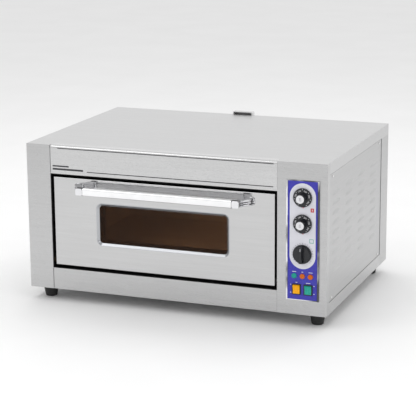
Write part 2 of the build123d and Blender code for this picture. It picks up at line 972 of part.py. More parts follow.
with BuildPart() as door_insulation:
    margin = 3 * door_sheet
    block(
        (door_left + pin_in_door + margin, door_right - pin_in_door - margin),
        (door_front + 2 * door_sheet, skin_back),
        (door_low + margin, door_high - margin),
    )
    rounded_slab(
        door_middle,
        window_z,
        outer[0] + 2 * bezel_flange + margin,
        outer[1] + 2 * bezel_flange + margin,
        window_radius,
        door_front,
        door_back,
        Mode.SUBTRACT,
    )
save(door_insulation, "door_insulation")

handle_front = door_front - handle_reach
handle_back = handle_front + handle_depth

handle_middle = door_middle + handle_offset

with BuildPart() as handle_bar:
    block(
        (handle_middle - handle_length / 2, handle_middle + handle_length / 2),
        (handle_front, handle_back),
        (handle_z - handle_height / 2, handle_z + handle_height / 2),
    )
    fillet(handle_bar.edges().filter_by(Axis.X), handle_edge)
save(handle_bar, "handle_bar")


def handle_arm(side):
    """A cast arm: a corner block at the bar's end that runs back to a round boss on the door."""
    block_x = handle_middle + side * (handle_length / 2 + arm_width / 2)
    boss_x = block_x + side * arm_splay
    neck_x = block_x + side * arm_splay * 0.6
    neck_y = door_front - handle_reach * 0.3
    stations = [
        (block_x, handle_front, arm_width, handle_height),
        (block_x, handle_back, arm_width, handle_height),
        (neck_x, neck_y, arm_width - arm_taper, handle_height),
        (boss_x, door_front - boss_thickness, arm_width - arm_taper, handle_height),
    ]
    with BuildPart() as arm:
        for x, y, width, height in stations:
            with BuildSketch(facing_front(x, y, handle_z)):
                RectangleRounded(width, height, handle_edge)
        loft(ruled=True)
        bar(boss_radius, (boss_x, door_front, handle_z), (boss_x, door_front - boss_thickness, handle_z))
    return arm


with BuildPart() as handle_arms:
    add(handle_arm(-1).part)
    add(handle_arm(1).part)
save(handle_arms, "handle_arms")

# ---------------------------------------------------------------- hinges

with BuildPart() as hinge_pins:
    bar(
        pin_radius,
        (door_left + pin_in_door, hinge_y, hinge_z),
        (mouth_left - pin_in_post, hinge_y, hinge_z),
    )
    bar(
        pin_radius,
        (door_right - pin_in_door, hinge_y, hinge_z),
        (mouth_right + pin_in_post, hinge_y, hinge_z),
    )
    fillet(hinge_pins.edges().filter_by(GeomType.CIRCLE), 1)
save(hinge_pins, "hinge_pins")

with BuildPart() as hinge_bushings:
    for side, wall in ((-1, mouth_left), (1, mouth_right)):
        inner_end = wall - side * (gauge + bushing_flange)
        bar(
            bushing_radius,
            (inner_end, hinge_y, hinge_z),
            (inner_end + side * bushing_length, hinge_y, hinge_z),
        )
        bar(
            bushing_flange_radius,
            (inner_end, hinge_y, hinge_z),
            (inner_end + side * bushing_flange, hinge_y, hinge_z),
        )
        bar(
            pin_radius + running_clearance,
            (inner_end - side, hinge_y, hinge_z),
            (inner_end + side * (bushing_length + 1), hinge_y, hinge_z),
            Mode.SUBTRACT,
        )
save(hinge_bushings, "hinge_bushings")

with BuildPart() as hinge_springs:
    for side, wall in ((-1, mouth_left), (1, mouth_right)):
        coil_start = wall + side * (bushing_length - gauge - bushing_flange + 2 * spring_wire_radius)
        coil_length = spring_turns * spring_pitch
        with BuildLine() as coil:
            Helix(
                pitch=spring_pitch,
                height=coil_length,
                radius=spring_mean_radius,
                center=(coil_start, hinge_y, hinge_z),
                direction=(side, 0, 0),
            )
        start_point = coil.line @ 0
        with BuildSketch(Plane(origin=start_point, z_dir=coil.line % 0)) as wire:
            Circle(spring_wire_radius)
        sweep(wire.sketch, path=coil.line, is_frenet=True)
        leg_end = (coil_start, front + gauge, start_point.Z)
        bar(spring_wire_radius, tuple(start_point), leg_end)
save(hinge_springs, "hinge_springs")

# ---------------------------------------------------------------- control panel

pilot_xs = [panel_x + i * pilot_pitch for i in (-1, 0, 1)]
rocker_xs = [panel_x + i * rocker_pitch / 2 for i in (-1, 1)]
knob_zs = (upper_knob, lower_knob, timer_knob)


def panel_holes(near, far):
    """Cuts the holes for the shafts, the pilot lamps and the switches."""
    for z in knob_zs:
        bar(shaft_hole_radius, (panel_x, near, z), (panel_x, far, z), Mode.SUBTRACT)
    for x in pilot_xs:
        bar(pilot_body_radius, (x, near, pilot_z), (x, far, pilot_z), Mode.SUBTRACT)
    housing_width = rocker_well_width + 2 * rocker_housing_wall
    housing_height = rocker_well_height + 2 * rocker_housing_wall
    for x in rocker_xs:
        block(
            (x - housing_width / 2, x + housing_width / 2),
            (near, far),
            (rocker_row - housing_height / 2, rocker_row + housing_height / 2),
            Mode.SUBTRACT,
        )


panel_left = panel_x - panel_width / 2
panel_right = panel_x + panel_width / 2

with BuildPart() as control_plate:
    block((panel_left, panel_right), (plate_front, front), (panel_low, panel_high))
    for x0, x1 in ((panel_left, panel_left + panel_rim_side), (panel_right - panel_rim_side, panel_right)):
        block((x0, x1), (plate_front - panel_rim_rise, plate_front), (panel_low, panel_high))
    for z0, z1 in ((panel_low, panel_low + panel_rim_end), (panel_high - panel_rim_end, panel_high)):
        block((panel_left, panel_right), (plate_front - panel_end_rise, plate_front), (z0, z1))
    rim_edges = control_plate.edges().filter_by(Axis.Z).group_by(Axis.Y)[0]
    fillet(rim_edges, panel_rim_side * 0.45)
    panel_holes(plate_front - gauge, front + gauge)
save(control_plate, "control_plate")

with BuildPart() as panel_overlay:
    block(
        (panel_left + panel_rim_side, panel_right - panel_rim_side),
        (overlay_front, plate_front),
        (panel_low + panel_rim_end, panel_high - panel_rim_end),
    )
    panel_holes(overlay_front - gauge, plate_front + gauge)
save(panel_overlay, "panel_overlay")

with BuildPart() as dial_plate:
    with BuildSketch(facing_front(panel_x, overlay_front, floor + dial_plate_foot + dial_plate_height / 2)):
        SlotOverall(dial_plate_height, dial_plate_width, rotation=90)
    extrude(amount=dial_plate_thickness)
    for z in knob_zs:
        bar(
            shaft_hole_radius,
            (panel_x, dial_front - gauge, z),
            (panel_x, overlay_front + gauge, z),
            Mode.SUBTRACT,
        )
save(dial_plate, "dial_plate")

knob_back = dial_front - knob_gap
knob_front = knob_back - knob_height


def knob(z):
    """A dial knob: a notched skirt that carries the numbers, and a plain tapered hub."""
    with BuildPart() as body:
        bar(knob_radius, (panel_x, knob_back, z), (panel_x, knob_back - knob_skirt, z))
        fillet(body.edges().filter_by(GeomType.CIRCLE).group_by(Axis.Y)[0], 1)
        with BuildSketch(facing_front(panel_x, knob_back - knob_skirt, z)):
            Circle(hub_root_radius)
        with BuildSketch(facing_front(panel_x, knob_front, z)):
            Circle(hub_radius)
        loft()
        fillet(body.edges().filter_by(GeomType.CIRCLE).group_by(Axis.Y)[0], 1.5)
        with BuildSketch(facing_front(panel_x, knob_back + 1, z)):
            with PolarLocations(knob_radius + notch_radius * 0.3, knob_notches):
                Circle(notch_radius)
        extrude(amount=knob_height, mode=Mode.SUBTRACT)
        bar(shaft_radius, (panel_x, knob_back, z), (panel_x, knob_front + 3, z), Mode.SUBTRACT)
    return body


knob_upper_heat = knob(upper_knob)
save(knob_upper_heat, "knob_upper_heat")
knob_lower_heat = knob(lower_knob)
save(knob_lower_heat, "knob_lower_heat")

with BuildPart() as knob_timer:
    timer_crown = knob_front + 4
    bar(knob_radius, (panel_x, knob_back, timer_knob), (panel_x, knob_back - knob_skirt, timer_knob))
    bar(
        knob_radius - 3,
        (panel_x, knob_back - knob_skirt, timer_knob),
        (panel_x, knob_back - 2 * knob_skirt, timer_knob),
    )
    fillet(knob_timer.edges().filter_by(GeomType.CIRCLE).group_by(Axis.Y)[0], 2)
    # the grip is a wing across the face, waisted towards its middle
    wing = knob_radius - 4
    with BuildSketch(facing_front(panel_x, knob_back - 2 * knob_skirt, timer_knob)):
        with BuildLine():
            ThreePointArc((-wing_width / 2, -wing), (-wing_width / 2 + 1.5, 0), (-wing_width / 2, wing))
            Line((-wing_width / 2, wing), (wing_width / 2, wing))
            ThreePointArc((wing_width / 2, wing), (wing_width / 2 - 1.5, 0), (wing_width / 2, -wing))
            Line((wing_width / 2, -wing), (-wing_width / 2, -wing))
        make_face()
    extrude(amount=knob_back - 2 * knob_skirt - timer_crown)
    crown_edges = knob_timer.edges().group_by(Axis.Y)[0]
    fillet(crown_edges, 1.5)
    bar(
        shaft_radius,
        (panel_x, knob_back, timer_knob),
        (panel_x, timer_crown + 3, timer_knob),
        Mode.SUBTRACT,
    )
save(knob_timer, "knob_timer")


def shaft(z, crown):
    """The spindle that turns with a knob."""
    with BuildPart() as spindle:
        bar(shaft_radius, (panel_x, crown + 3, z), (panel_x, front + shaft_depth, z))
    return spindle


shaft_upper_heat = shaft(upper_knob, knob_front)
save(shaft_upper_heat, "shaft_upper_heat")
shaft_lower_heat = shaft(lower_knob, knob_front)
save(shaft_lower_heat, "shaft_lower_heat")
shaft_timer = shaft(timer_knob, timer_crown)
save(shaft_timer, "shaft_timer")


def control_unit(z, depth):
    """A thermostat or timer behind the panel, with a bore for its spindle."""
    half = control_body / 2
    with BuildPart() as unit:
        block((panel_x - half, panel_x + half), (front, front + depth), (z - half, z + half))
        fillet(unit.edges().filter_by(Axis.Y), 3)
        bar(
            shaft_radius + running_clearance,
            (panel_x, front - gauge, z),
            (panel_x, front + shaft_depth + 2, z),
            Mode.SUBTRACT,
        )
    return unit


thermostat_upper = control_unit(upper_knob, control_body_depth)
save(thermostat_upper, "thermostat_upper")
thermostat_lower = control_unit(lower_knob, control_body_depth)
save(thermostat_lower, "thermostat_lower")
timer_mechanism = control_unit(timer_knob, timer_body_depth)
save(timer_mechanism, "timer_mechanism")

with BuildPart() as sensor_tubes:
    for wall_z, unit_z in zip(sensor_zs, (lower_knob, upper_knob)):
        bulb_end = chamber_right - sensor_length
        bulb_start = divider_x + 4 * gauge
        bar(sensor_radius, (bulb_end, sensor_y, wall_z), (bulb_start, sensor_y, wall_z))
        unit_back = front + control_body_depth
        with BuildLine() as capillary:
            FilletPolyline(
                (bulb_start, sensor_y, wall_z),
                (panel_x, sensor_y, wall_z),
                (panel_x, sensor_y, unit_z + control_body / 4),
                (panel_x, unit_back, unit_z + control_body / 4),
                radius=10,
            )
        with BuildSketch(Plane(origin=(bulb_start, sensor_y, wall_z), z_dir=(1, 0, 0))) as bore:
            Circle(capillary_radius)
        sweep(bore.sketch, path=capillary.line)
save(sensor_tubes, "sensor_tubes")


def pilot_lamp(x):
    """A round pilot lamp: a low domed lens in front and its body behind the panel."""
    bar(pilot_lens_radius, (x, overlay_front, pilot_z), (x, overlay_front - pilot_lens_height, pilot_z))
    bar(pilot_body_radius, (x, overlay_front, pilot_z), (x, overlay_front + pilot_body_depth, pilot_z))


with BuildPart() as pilot_lamp_green:
    pilot_lamp(pilot_xs[0])
    lens_edges = pilot_lamp_green.edges().filter_by(GeomType.CIRCLE).group_by(Axis.Y)[0]
    fillet(lens_edges, pilot_lens_height * 0.7)
save(pilot_lamp_green, "pilot_lamp_green")

with BuildPart() as pilot_lamps_orange:
    for x in pilot_xs[1:]:
        pilot_lamp(x)
    lens_edges = pilot_lamps_orange.edges().filter_by(GeomType.CIRCLE).group_by(Axis.Y)[0]
    fillet(lens_edges, pilot_lens_height * 0.7)
save(pilot_lamps_orange, "pilot_lamps_orange")

well_radius = rocker_radius + 1.5 * rocker_clearance + 0.4

with BuildPart() as switch_housings:
    bezel_face = overlay_front - rocker_bezel_depth
    housing_width = rocker_well_width + 2 * rocker_housing_wall
    housing_height = rocker_well_height + 2 * rocker_housing_wall
    for x in rocker_xs:
        rounded_slab(x, rocker_row, rocker_bezel_width, rocker_bezel_height, 2, bezel_face, overlay_front)
        block(
            (x - housing_width / 2, x + housing_width / 2),
            (overlay_front, overlay_front + rocker_housing_depth),
            (rocker_row - housing_height / 2, rocker_row + housing_height / 2),
        )
        block(
            (x - rocker_well_width / 2, x + rocker_well_width / 2),
            (bezel_face - 1, rocker_pivot),
            (rocker_row - rocker_well_height / 2, rocker_row + rocker_well_height / 2),
            Mode.SUBTRACT,
        )
        bar(
            well_radius,
            (x - rocker_well_width / 2, rocker_pivot, rocker_row),
            (x + rocker_well_width / 2, rocker_pivot, rocker_row),
            Mode.SUBTRACT,
        )
save(switch_housings, "switch_housings")


def rocker(x):
    """A rocker: round behind its pivot, with a shallow V in front, tipped to its off side."""
    half = (rocker_well_width - 2 * rocker_clearance) / 2
    tipped = Vector(0, 1, 0).rotate(Axis.X, rocker_tilt)
    with BuildPart() as paddle:
        with BuildSketch(Plane(origin=(x - half, rocker_pivot, rocker_row), x_dir=tipped, z_dir=(1, 0, 0))):
            with BuildLine():
                Polyline(
                    (0, rocker_radius),
                    (-rocker_crest, rocker_radius),
                    (-rocker_valley, 0),
                    (-rocker_crest, -rocker_radius),
                    (0, -rocker_radius),
                )
                ThreePointArc((0, -rocker_radius), (rocker_radius, 0), (0, rocker_radius))
            make_face()
        extrude(amount=2 * half)
    return paddle


rocker_lamp = rocker(rocker_xs[0])
save(rocker_lamp, "rocker_lamp")
rocker_power = rocker(rocker_xs[1])
save(rocker_power, "rocker_power")

# ---------------------------------------------------------------- mains connection

with BuildPart() as terminal_block:
    terminal_x = (gland_x - terminal_length / 2, gland_x + terminal_length / 2)
    terminal_y = (back - 110, back - 110 + terminal_width)
    base_z = floor + gauge
    block(terminal_x, terminal_y, (base_z, base_z + terminal_height))
    barrier = terminal_length / terminal_poles
    for i in range(terminal_poles):
        x0 = terminal_x[0] + i * barrier
        block(
            (x0 + 2, x0 + barrier - 2),
            (terminal_y[0] - 1, terminal_y[1] + 1),
            (base_z + terminal_height * 0.6, base_z + terminal_height + 1),
            Mode.SUBTRACT,
        )
save(terminal_block, "terminal_block")

with BuildPart() as cable_gland:
    inner_y = back - gauge
    with BuildSketch(facing_front(gland_x, inner_y, gland_height)) as hexagon:
        RegularPolygon(gland_nut_width / 2, 6, major_radius=False)
    extrude(hexagon.sketch, amount=-gland_nut)
    bar(
        gland_radius,
        (gland_x, inner_y + gland_nut, gland_height),
        (gland_x, back + vent_depth, gland_height),
    )
    bar(gland_thread_radius, (gland_x, inner_y - 12, gland_height), (gland_x, inner_y, gland_height))
    outer_rim = cable_gland.edges().filter_by(GeomType.CIRCLE).group_by(Axis.Y)[-1]
    fillet(outer_rim, 3)
    bar(
        gland_bore,
        (gland_x, inner_y - 13, gland_height),
        (gland_x, back + vent_depth + 1, gland_height),
        Mode.SUBTRACT,
    )
save(cable_gland, "cable_gland")
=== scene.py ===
import math

import bmesh
import bpy
from mathutils import Matrix, Vector


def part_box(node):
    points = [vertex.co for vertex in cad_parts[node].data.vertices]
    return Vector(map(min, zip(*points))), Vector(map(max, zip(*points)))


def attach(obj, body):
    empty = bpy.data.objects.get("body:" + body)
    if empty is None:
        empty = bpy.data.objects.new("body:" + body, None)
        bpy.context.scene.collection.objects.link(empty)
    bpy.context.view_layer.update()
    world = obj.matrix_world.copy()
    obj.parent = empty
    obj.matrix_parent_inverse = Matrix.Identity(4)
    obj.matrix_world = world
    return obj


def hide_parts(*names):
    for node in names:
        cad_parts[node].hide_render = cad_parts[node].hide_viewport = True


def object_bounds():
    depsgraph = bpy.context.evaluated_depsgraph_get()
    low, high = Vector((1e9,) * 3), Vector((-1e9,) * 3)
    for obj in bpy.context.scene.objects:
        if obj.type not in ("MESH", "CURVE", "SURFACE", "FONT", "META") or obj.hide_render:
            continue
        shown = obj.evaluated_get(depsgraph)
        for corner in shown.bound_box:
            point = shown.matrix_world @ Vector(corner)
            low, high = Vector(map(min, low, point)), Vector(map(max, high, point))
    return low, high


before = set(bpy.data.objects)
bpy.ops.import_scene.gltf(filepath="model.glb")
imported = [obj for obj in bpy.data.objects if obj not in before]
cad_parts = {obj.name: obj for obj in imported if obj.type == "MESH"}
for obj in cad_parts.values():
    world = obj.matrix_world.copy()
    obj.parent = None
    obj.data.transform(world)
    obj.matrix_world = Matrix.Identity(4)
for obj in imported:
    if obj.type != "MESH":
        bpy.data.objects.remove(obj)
cad_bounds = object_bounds()

# Single-deck electric oven. Metres, +X right, the door faces -Y, +Z up, the table is at z = 0.
MM = 0.001

# ---------------------------------------------------------------- places taken from the frame


def corners(node):
    """Low and high corners of a CAD node's box."""
    low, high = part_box(node)
    return Vector(low), Vector(high)


def middle(node):
    """Centre of a CAD node's box."""
    low, high = corners(node)
    return (low + high) / 2


def front_y(node):
    """Y of a CAD node's foremost face."""
    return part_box(node)[0][1]


def rear_y(node):
    """Y of a CAD node's rearmost face."""
    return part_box(node)[1][1]


CASING_CORNER = corners("left_upright")[0]  # foot of the left post's front corner


# ---------------------------------------------------------------- camera, world and light


CAMERA_OFFSET = Vector((2.1122, -3.9685, 1.3201))  # of the camera from CASING_CORNER
CAMERA_YAW = math.radians(21.2456)
CAMERA_PITCH = math.radians(13.6581)  # downwards
CAMERA_ROLL = math.radians(-0.4351)
FOCAL_LENGTH = 134.49  # in mm, as is the sensor's width
SENSOR_WIDTH = 36
FAR_CLIP = 100

BACKDROP_STRENGTH = 1.05  # of the white behind the oven, as the camera sees it
STUDIO_DIM = (0.62, 0.62, 0.62, 1)  # the studio in front of the oven
STUDIO_WHITE = (1, 1, 1, 1)


def add_camera():
    """The photograph's view: a long lens from the front right, a little above the oven."""
    level = Vector((math.cos(CAMERA_YAW), math.sin(CAMERA_YAW), 0))
    reach = math.cos(CAMERA_PITCH)
    drop = math.sin(CAMERA_PITCH)
    ahead = Vector((-math.sin(CAMERA_YAW) * reach, math.cos(CAMERA_YAW) * reach, -drop))
    above = level.cross(ahead)
    right = level * math.cos(CAMERA_ROLL) + above * math.sin(CAMERA_ROLL)
    up = above * math.cos(CAMERA_ROLL) - level * math.sin(CAMERA_ROLL)
    data = bpy.data.cameras.new("camera")
    data.sensor_width = SENSOR_WIDTH
    data.lens = FOCAL_LENGTH
    data.clip_end = FAR_CLIP
    camera = bpy.data.objects.new("camera", data)
    bpy.context.collection.objects.link(camera)
    turn = Matrix((right, up, -ahead)).transposed().to_4x4()
    camera.matrix_world = Matrix.Translation(CASING_CORNER + CAMERA_OFFSET) @ turn
    bpy.context.scene.camera = camera


def add_light(name, place, aim, size, power, colour=(1, 1, 1), mirrored=True):
    """A square soft box aimed at a point; mirrored says if polished metal shows it."""
    data = bpy.data.lights.new(name, "AREA")
    data.shape = "SQUARE"
    data.size = size
    data.energy = power
    data.color = colour
    light = bpy.data.objects.new(name, data)
    bpy.context.collection.objects.link(light)
    light.location = place
    light.rotation_euler = (Vector(aim) - Vector(place)).to_track_quat("-Z", "Y").to_euler()
    light.visible_glossy = mirrored


def add_lights():
    """Two soft boxes in front, one overhead that metal doesn't mirror, and a warm glow in the chamber."""
    low, high = [Vector(v) for v in cad_bounds]
    centre = (low + high) / 2
    add_light("key", centre + Vector((-1.6, -2.4, 2.6)), centre, size=2.2, power=22)
    add_light("fill", centre + Vector((2.6, -1.8, 1.6)), centre, size=2.0, power=8)
    add_light("overhead", centre + Vector((0, 0.6, 3.0)), centre, size=3.0, power=30, mirrored=False)
    cavity = middle("chamber_liner")
    lamp, target = cavity + Vector((0, 0, 0.08)), cavity + Vector((0, 0.2, -0.3))
    add_light("chamber_glow", lamp, target, size=0.3, power=1.2, colour=(1, 0.66, 0.38))


def add_world():
    """A white studio, a little dimmer in front of the oven."""
    world = bpy.data.worlds.new("studio")
    bpy.context.scene.world = world
    world.use_nodes = True
    nodes, links = world.node_tree.nodes, world.node_tree.links
    nodes.clear()
    output = nodes.new("ShaderNodeOutputWorld")
    seen = nodes.new("ShaderNodeBackground")
    seen.inputs["Color"].default_value = STUDIO_WHITE
    seen.inputs["Strength"].default_value = BACKDROP_STRENGTH
    lit = nodes.new("ShaderNodeBackground")
    lit.inputs["Strength"].default_value = 1.0
    ramp = nodes.new("ShaderNodeValToRGB")
    dim_end, white_end = ramp.color_ramp.elements
    dim_end.position = 0.25
    dim_end.color = STUDIO_DIM
    white_end.position = 0.75
    white_end.color = STUDIO_WHITE
    direction = nodes.new("ShaderNodeTexCoord")
    split = nodes.new("ShaderNodeSeparateXYZ")
    half = nodes.new("ShaderNodeMath")
    half.operation = "MULTIPLY_ADD"
    half.inputs[1].default_value = 0.5
    half.inputs[2].default_value = 0.5
    choose = nodes.new("ShaderNodeMixShader")
    path = nodes.new("ShaderNodeLightPath")
    links.new(direction.outputs["Generated"], split.inputs[0])
    links.new(split.outputs["Y"], half.inputs[0])
    links.new(half.outputs[0], ramp.inputs["Fac"])
    links.new(ramp.outputs["Color"], lit.inputs["Color"])
    links.new(path.outputs["Is Camera Ray"], choose.inputs[0])
    links.new(lit.outputs[0], choose.inputs[1])
    links.new(seen.outputs[0], choose.inputs[2])
    links.new(choose.outputs[0], output.inputs["Surface"])


# ---------------------------------------------------------------- material kit


NOISE_SPREAD = (0.3, 0.7)  # where most values of a noise lie
MIX_DARK, MIX_LIGHT, MIX_RESULT = 6, 7, 2  # colour sockets of a Mix node


def shade(colour, factor):
    """A colour made darker or lighter."""
    return tuple(min(1.0, channel * factor) for channel in colour)


class Shader:
    """A material under construction: one Principled shader and the nodes that feed it."""

    def __init__(self, name, colour, roughness, metallic=0.0):
        self.material = bpy.data.materials.new(name)
        self.material.use_nodes = True
        self.tree = self.material.node_tree
        self.surface = self.tree.nodes["Principled BSDF"]
        self.surface.inputs["Base Color"].default_value = (*colour, 1)
        self.surface.inputs["Roughness"].default_value = roughness
        self.surface.inputs["Metallic"].default_value = metallic
        self.place = self.node("ShaderNodeTexCoord").outputs["Object"]

    def node(self, kind, **values):
        """Adds a node; each value sets the socket of that name, or else the property."""
        made = self.tree.nodes.new(kind)
        for key, value in values.items():
            if key in made.inputs:
                made.inputs[key].default_value = value
            else:
                setattr(made, key, value)
        return made

    def noise(self, scale, stretch=(1, 1, 1), detail=4.0):
        """A noise field in object space, squeezed along each axis by stretch."""
        mapping = self.node("ShaderNodeMapping")
        mapping.inputs["Scale"].default_value = stretch
        self.tree.links.new(self.place, mapping.inputs["Vector"])
        field = self.node("ShaderNodeTexNoise", Scale=scale, Detail=detail, Roughness=0.6)
        self.tree.links.new(mapping.outputs["Vector"], field.inputs["Vector"])
        return field.outputs["Fac"]

    def ranged(self, value, low, high):
        """Maps a noise onto low to high."""
        spread = self.node("ShaderNodeMapRange")
        spread.inputs["From Min"].default_value, spread.inputs["From Max"].default_value = NOISE_SPREAD
        spread.inputs["To Min"].default_value = low
        spread.inputs["To Max"].default_value = high
        self.tree.links.new(value, spread.inputs["Value"])
        return spread.outputs["Result"]

    def vary_roughness(self, value, low, high):
        """Roughness between two values along a noise."""
        self.tree.links.new(self.ranged(value, low, high), self.surface.inputs["Roughness"])

    def vary_colour(self, value, dark, light):
        """Colour between two shades along a noise."""
        mix = self.node("ShaderNodeMix", data_type="RGBA")
        mix.inputs[MIX_DARK].default_value = (*dark, 1)
        mix.inputs[MIX_LIGHT].default_value = (*light, 1)
        self.tree.links.new(self.ranged(value, 0.0, 1.0), mix.inputs["Factor"])
        self.tree.links.new(mix.outputs[MIX_RESULT], self.surface.inputs["Base Color"])

    def bump(self, value, height, strength):
        """Relief of a height along a noise."""
        relief = self.node("ShaderNodeBump", Strength=strength, Distance=height)
        self.tree.links.new(value, relief.inputs["Height"])
        self.tree.links.new(relief.outputs["Normal"], self.surface.inputs["Normal"])


def brushed(name, colour, roughness, grain, relief=0.00002, variation=0.035):
    """Satin stainless sheet with fine grain lines; grain gives the noise scale along X, Y and Z."""
    shader = Shader(name, colour, roughness, 1.0)
    lines = shader.noise(60, grain, detail=6.0)
    streaks = shader.noise(5, grain, detail=8.0)
    shader.vary_colour(streaks, shade(colour, 1 - variation), shade(colour, 1 + variation))
    shader.vary_roughness(lines, roughness * 0.8, roughness * 1.25)
    shader.bump(lines, relief, 0.35)
    return shader.material


def plastic(name, colour, roughness, grain_scale=900, relief=0.00002, variation=0.12):
    """Moulded plastic or rubber with a fine skin texture and slightly uneven colour."""
    shader = Shader(name, colour, roughness)
    skin = shader.noise(grain_scale, detail=3.0)
    clouds = shader.noise(30, detail=2.0)
    shader.vary_colour(clouds, shade(colour, 1 - variation), shade(colour, 1 + variation))
    shader.vary_roughness(skin, roughness * 0.8, roughness * 1.2)
    shader.bump(skin, relief, 0.3)
    return shader.material


def chromed(name, colour=(0.86, 0.86, 0.87), roughness=0.06):
    """Chrome plate with faint polishing haze."""
    shader = Shader(name, colour, roughness, 1.0)
    haze = shader.noise(40)
    shader.vary_roughness(haze, roughness * 0.5, roughness * 1.8)
    shader.vary_colour(haze, shade(colour, 0.96), shade(colour, 1.03))
    return shader.material


def panel_rim(name):
    """Chrome of the panel's rim with painted reflections: bright at its left edge and darkly clouded
    towards the right.
    """
    shader = Shader(name, (0.8, 0.8, 0.82), 0.08, 1.0)
    split = shader.node("ShaderNodeSeparateXYZ")
    shader.tree.links.new(shader.place, split.inputs[0])
    low, high = corners("control_plate")
    # painted reflection: the chrome's colour falls from bright at the left edge to dark at the right
    across = shader.node("ShaderNodeMapRange")
    across.inputs["From Min"].default_value = low[0]
    across.inputs["From Max"].default_value = high[0]
    across.inputs["To Min"].default_value = 0.62
    across.inputs["To Max"].default_value = 0.34
    shader.tree.links.new(split.outputs["X"], across.inputs["Value"])
    # painted reflection: dark clouds on the chrome where surroundings would be mirrored
    clouds = shader.ranged(shader.noise(11, detail=2.0), -0.5, 0.5)
    total = shader.node("ShaderNodeMath", operation="ADD")
    shader.tree.links.new(across.outputs["Result"], total.inputs[0])
    shader.tree.links.new(clouds, total.inputs[1])
    shader.vary_colour(total.outputs[0], (0.10, 0.10, 0.11), (0.88, 0.88, 0.90))
    return shader.material


def tinted_glass(name, colour, alpha):
    """Tinted oven glass: mostly its own dark colour, with the chamber faintly seen through it."""
    shader = Shader(name, colour, 0.05)
    smear = shader.noise(9, (1, 1, 2), detail=3.0)
    shader.vary_roughness(smear, 0.03, 0.09)
    shader.vary_colour(smear, shade(colour, 0.85), shade(colour, 1.15))
    shader.surface.inputs["Alpha"].default_value = alpha
    shader.surface.inputs["Specular IOR Level"].default_value = 0.12
    return shader.material


def lit_lens(name, colour, glow):
    """A translucent coloured lens that gathers light and looks lit from behind."""
    shader = Shader(name, colour, 0.15)
    flecks = shader.noise(300, detail=2.0)
    shader.vary_colour(flecks, shade(colour, 0.8), shade(colour, 1.15))
    shader.surface.inputs["Emission Color"].default_value = (*colour, 1)
    shader.surface.inputs["Emission Strength"].default_value = glow
    shader.surface.inputs["Specular IOR Level"].default_value = 0.3
    return shader.material


def wool(name, colour):
    """Mineral wool: matted fibres."""
    shader = Shader(name, colour, 0.95)
    fibres = shader.noise(200, (1, 4, 4), detail=8.0)
    shader.vary_colour(fibres, shade(colour, 0.7), shade(colour, 1.2))
    shader.bump(fibres, 0.002, 0.9)
    return shader.material


# ---------------------------------------------------------------- materials of the CAD nodes


GRAIN_X = (1, 40, 40)  # brushed along X
GRAIN_Y = (40, 1, 40)  # brushed along Y


def repaint(material, *names):
    """Gives CAD nodes a material."""
    for name in names:
        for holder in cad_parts[name].material_slots:
            holder.material = material


def paint_casing():
    """Stainless sheet in five finishes, the fascia and top coloured lighter as painted light and the
    sides darker as painted shade, galvanised parts, screws, feet and the terminal block.
    """
    casing = brushed("casing_brushed", (0.56, 0.56, 0.562), 0.30, GRAIN_X)
    repaint(casing, "left_upright", "right_upright", "lower_fascia", "base_pan")
    # painted light: the upper fascia's steel is coloured lighter than the posts' same steel
    repaint(brushed("fascia_brushed_lit", (0.64, 0.64, 0.642), 0.26, GRAIN_X), "upper_fascia")
    # painted shade: the side panels' steel is coloured darker than the posts' same steel
    sides = brushed("side_brushed_shaded", (0.54, 0.54, 0.542), 0.34, GRAIN_Y)
    repaint(sides, "left_side_panel", "right_side_panel", "rear_uprights", "back_panel")
    # painted light: the top's steel is coloured lighter than the posts' same steel
    repaint(brushed("top_brushed_lit", (0.62, 0.62, 0.622), 0.36, GRAIN_X), "top_cover")
    repaint(brushed("vent_brushed", (0.70, 0.70, 0.70), 0.3, GRAIN_X), "steam_duct")
    galvanised = brushed("galvanised", (0.60, 0.61, 0.62), 0.45, (6, 6, 6))
    repaint(galvanised, "compartment_divider", "steam_pipe")
    repaint(brushed("screw_steel", (0.80, 0.80, 0.80), 0.2, (5, 5, 5)), "casing_screws")
    repaint(plastic("foot_rubber", (0.012, 0.012, 0.012), 0.6, 400, 0.00008), "feet")
    repaint(plastic("terminal_case", (0.65, 0.62, 0.55), 0.5), "terminal_block")


def paint_chamber():
    """Enamelled mouth, lined chamber with its heaters and lamp, and all the mineral wool."""
    repaint(plastic("mouth_enamel", (0.006, 0.006, 0.006), 0.45), "mouth_frame", "window_spacer")
    repaint(plastic("gasket_rubber", (0.02, 0.02, 0.02), 0.8, 500, 0.0001), "mouth_gasket")
    repaint(brushed("liner_aluminised", (0.45, 0.38, 0.32), 0.5, GRAIN_X), "chamber_liner")
    repaint(brushed("deck_plate_steel", (0.38, 0.30, 0.24), 0.45, GRAIN_X), "deck_plates")
    sheath = brushed("element_sheath", (0.28, 0.20, 0.16), 0.5, GRAIN_X)
    repaint(sheath, "upper_heating_elements", "lower_heating_elements", "sensor_tubes")
    repaint(plastic("lamp_ceramic", (0.80, 0.78, 0.72), 0.5), "lamp_holder")
    repaint(tinted_glass("lamp_glass", (0.7, 0.6, 0.4), 0.5), "lamp_glass")
    slabs = [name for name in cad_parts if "insulation" in name]
    repaint(wool("mineral_wool", (0.72, 0.62, 0.38)), *slabs)


